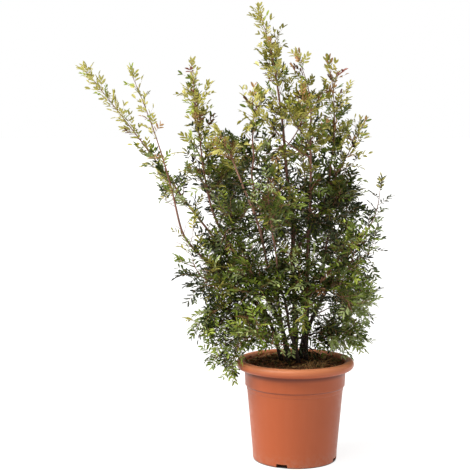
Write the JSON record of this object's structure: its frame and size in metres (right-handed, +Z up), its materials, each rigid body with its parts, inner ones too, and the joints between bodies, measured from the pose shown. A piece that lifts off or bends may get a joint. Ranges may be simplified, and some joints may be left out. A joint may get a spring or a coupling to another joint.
{
  "type": "potted mastic tree",
  "caption": "Many-stemmed evergreen mastic shrub with small feathered leaves, growing in a round tapered terracotta-coloured plastic pot with a rolled rim.",
  "frame": {"origin": "centre of the pot's flat underside", "axes": "+Z up along the pot's axis, -Y towards the picture's viewer, +X to the viewer's right"},
  "size_m": [1.0736, 0.6672, 1.5471],
  "materials": {
    "pot_plastic": "satin",
    "potting_soil": "matt, crumbly",
    "bark": "rough bark",
    "leaf_green": "leathery, glossy",
    "leaf_olive": "leathery, glossy"
  },
  "bodies": {
    "root": {"back_left": "bark", "back_right": "bark", "centre": "bark", "droop_left": "bark", "foliage_back_left_tip": "leaf_green", "foliage_back_right_tip": "leaf_green", "foliage_centre_tip": "leaf_olive", "foliage_droop_left_tip": "leaf_green", "foliage_fork_right_tip": "leaf_olive", "foliage_fork_up_tip": "leaf_green", "foliage_front_right_tip": "leaf_green", "foliage_low_left_tip": "leaf_green", "foliage_low_right_tip": "leaf_green", "foliage_stem_back_side_1": "leaf_green", "foliage_stem_back_side_2": "leaf_green", "foliage_stem_back_tip": "leaf_olive", "foliage_stem_front_side_1": "leaf_green", "foliage_stem_front_side_2": "leaf_green", "foliage_stem_front_tip": "leaf_green", "foliage_stem_left_side_1": "leaf_green", "foliage_stem_left_side_2": "leaf_olive", "foliage_stem_left_tip": "leaf_olive", "foliage_stem_middle_side_1": "leaf_green", "foliage_stem_middle_side_2": "leaf_green", "foliage_stem_middle_side_3": "leaf_olive", "foliage_stem_middle_tip": "leaf_olive", "foliage_stem_northwest_side_1": "leaf_green", "foliage_stem_northwest_tip": "leaf_olive", "foliage_stem_red_side_1": "leaf_green", "foliage_stem_red_side_2": "leaf_green", "foliage_stem_red_tip": "leaf_olive", "foliage_stem_right_side_1": "leaf_green", "foliage_stem_right_side_2": "leaf_green", "foliage_stem_right_tip": "leaf_green", "foliage_stem_tall_side_1": "leaf_olive", "foliage_stem_tall_side_2": "leaf_olive", "foliage_stem_tall_tip": "leaf_olive", "foliage_stem_west_side_1": "leaf_green", "foliage_stem_west_side_2": "leaf_green", "foliage_stem_west_tip": "leaf_olive", "foliage_thin_left_tip": "leaf_green", "foliage_upper_right_tip": "leaf_olive", "fork_right": "bark", "fork_up": "bark", "front_right": "bark", "low_left": "bark", "low_right": "bark", "pot": "pot_plastic", "soil": "potting_soil", "stem_back": "bark", "stem_front": "bark", "stem_left": "bark", "stem_middle": "bark", "stem_northwest": "bark", "stem_red": "bark", "stem_right": "bark", "stem_tall": "bark", "stem_west": "bark", "thin_left": "bark", "upper_right": "bark"}
  },
  "joints": []
}
